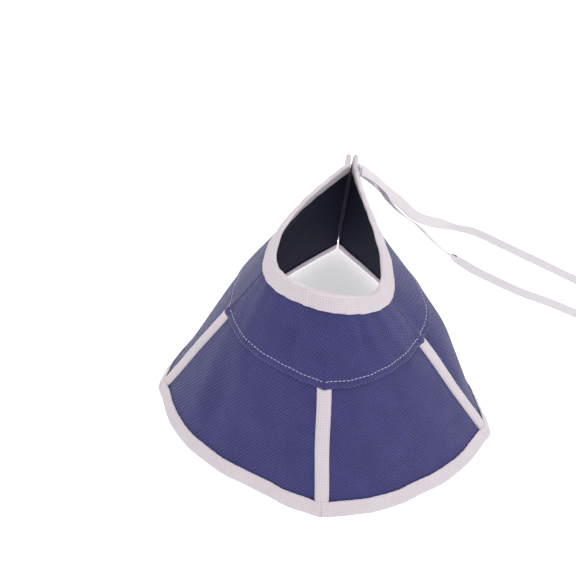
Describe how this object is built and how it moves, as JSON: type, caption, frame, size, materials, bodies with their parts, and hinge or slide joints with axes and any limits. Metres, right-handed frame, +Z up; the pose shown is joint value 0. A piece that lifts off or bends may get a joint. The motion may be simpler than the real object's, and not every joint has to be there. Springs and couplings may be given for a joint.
{
  "type": "elizabethan collar",
  "caption": "Soft cone-shaped recovery collar of navy nonwoven fabric with white bound edges, stiffened stay channels, a back closure and two long tape ties.",
  "frame": {"origin": "middle of the hem's outline on the floor it stands on, without the ties", "axes": "+Z up towards the neck opening, +Y towards the back closure, front stay towards -Y"},
  "size_m": [0.3812, 0.328, 0.1485],
  "materials": {
    "skirt": "matte",
    "yoke": "matte",
    "binding": "matte",
    "channel": "matte",
    "stay": "smooth",
    "thread": "satin",
    "loop": "brushed loop pile",
    "hook": "fine hooks",
    "tie": "matte"
  },
  "bodies": {
    "front": {"skirt_front": "skirt", "yoke_front": "yoke", "neck_binding_front": "binding", "hem_binding_front": "binding", "channel_front": "channel", "stay_front": "stay", "yoke_stitch_front": "thread"},
    "left": {"skirt_left": "skirt", "yoke_left": "yoke", "neck_binding_left": "binding", "hem_binding_left": "binding", "channel_left": "channel", "stay_left": "stay", "yoke_stitch_left": "thread"},
    "back_left": {"skirt_back_left": "skirt", "yoke_back_left": "yoke", "neck_binding_back_left": "binding", "hem_binding_back_left": "binding", "channel_back_left": "channel", "stay_back_left": "stay", "yoke_stitch_back_left": "thread", "loop_strip": "loop"},
    "right": {"skirt_right": "skirt", "yoke_right": "yoke", "neck_binding_right": "binding", "hem_binding_right": "binding", "channel_right": "channel", "stay_right": "stay", "yoke_stitch_right": "thread"},
    "back_right": {"skirt_back_right": "skirt", "yoke_back_right": "yoke", "neck_binding_back_right": "binding", "hem_binding_back_right": "binding", "channel_back_right": "channel", "stay_back_right": "stay", "yoke_stitch_back_right": "thread", "hook_strip": "hook", "tie_upper": "tie", "tie_lower": "tie", "tie_tack": "thread"}
  },
  "joints": [
    {"name": "fold_left", "type": "hinge", "parent": "front", "child": "left", "pos_m": [-0.08349, -0.11926, 0], "axis": [0.2943, 0.4013, 0.8674], "range_deg": [0, 50]},
    {"name": "fold_back_left", "type": "hinge", "parent": "left", "child": "back_left", "pos_m": [-0.09321, 0.03847, 0], "axis": [0.3478, -0.1553, 0.9246], "range_deg": [0, 45]},
    {"name": "fold_right", "type": "hinge", "parent": "front", "child": "right", "pos_m": [0.07881, -0.12476, 0], "axis": [0.3894, -0.4253, -0.817], "range_deg": [0, 50]},
    {"name": "fold_back_right", "type": "hinge", "parent": "right", "child": "back_right", "pos_m": [0.09769, 0.02824, 0], "axis": [0.4598, 0.1237, -0.8794], "range_deg": [0, 45]}
  ]
}
